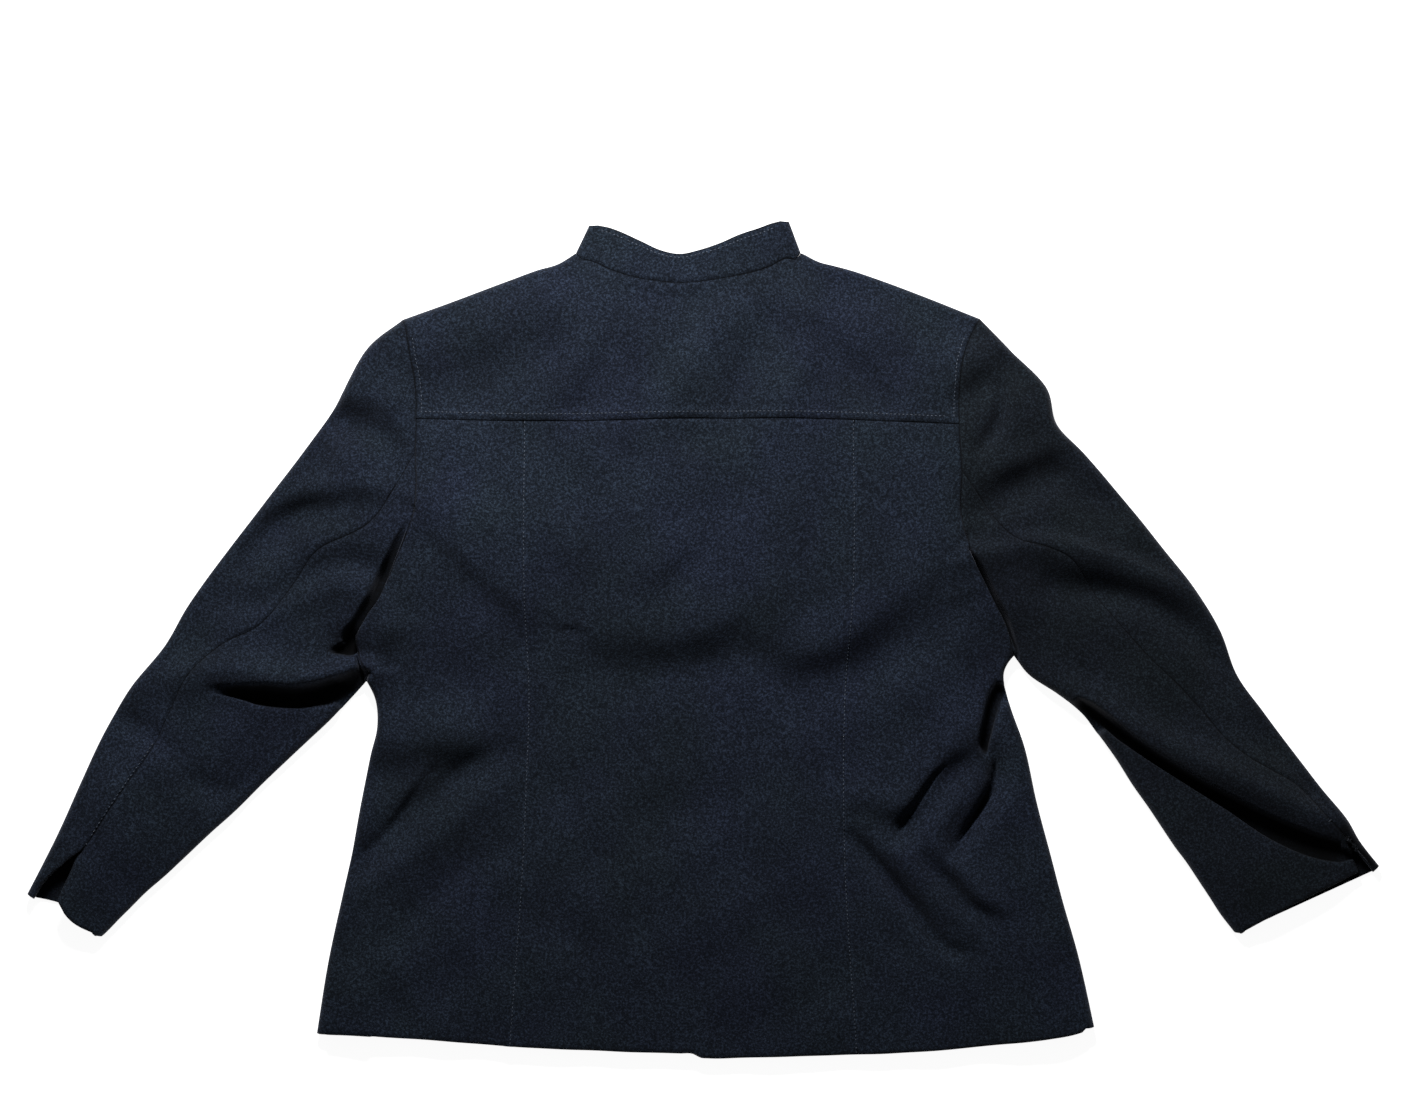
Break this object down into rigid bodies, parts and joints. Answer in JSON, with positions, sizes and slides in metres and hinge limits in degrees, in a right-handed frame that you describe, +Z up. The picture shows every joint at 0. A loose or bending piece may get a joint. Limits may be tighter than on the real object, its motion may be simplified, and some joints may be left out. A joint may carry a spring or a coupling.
{
  "type": "cropped jacket",
  "caption": "Cropped wool jacket with a stand collar, back yoke and two-piece three-quarter sleeves, laid flat with its back up.",
  "frame": {"origin": "centre of the bottom of the bounding box, on the surface that the jacket lies on", "axes": "+Z up out of the surface, through the fronts and out of the back; +Y from the hem towards the collar; +X to the wearer's right, which is the right of the picture"},
  "size_m": [1.0273, 0.6359, 0.033],
  "materials": {
    "collar_stand": "matte black-navy wool crepe with a short nap",
    "back_yoke": "matte black-navy wool crepe with a short nap",
    "centre_back": "matte black-navy wool crepe with a short nap",
    "side_back_left": "matte black-navy wool crepe with a short nap",
    "side_back_right": "matte black-navy wool crepe with a short nap",
    "front_left": "matte black-navy wool crepe with a short nap",
    "front_right": "matte black-navy wool crepe with a short nap",
    "upper_sleeve_left": "matte black-navy wool crepe with a short nap",
    "under_sleeve_left": "matte black-navy wool crepe with a short nap",
    "upper_sleeve_right": "matte black-navy wool crepe with a short nap",
    "under_sleeve_right": "matte black-navy wool crepe with a short nap"
  },
  "bodies": {
    "root": {"collar_stand": "collar_stand", "back_yoke": "back_yoke", "centre_back": "centre_back", "side_back_left": "side_back_left", "side_back_right": "side_back_right", "front_left": "front_left", "front_right": "front_right", "upper_sleeve_left": "upper_sleeve_left", "under_sleeve_left": "under_sleeve_left", "upper_sleeve_right": "upper_sleeve_right", "under_sleeve_right": "under_sleeve_right"}
  },
  "joints": []
}
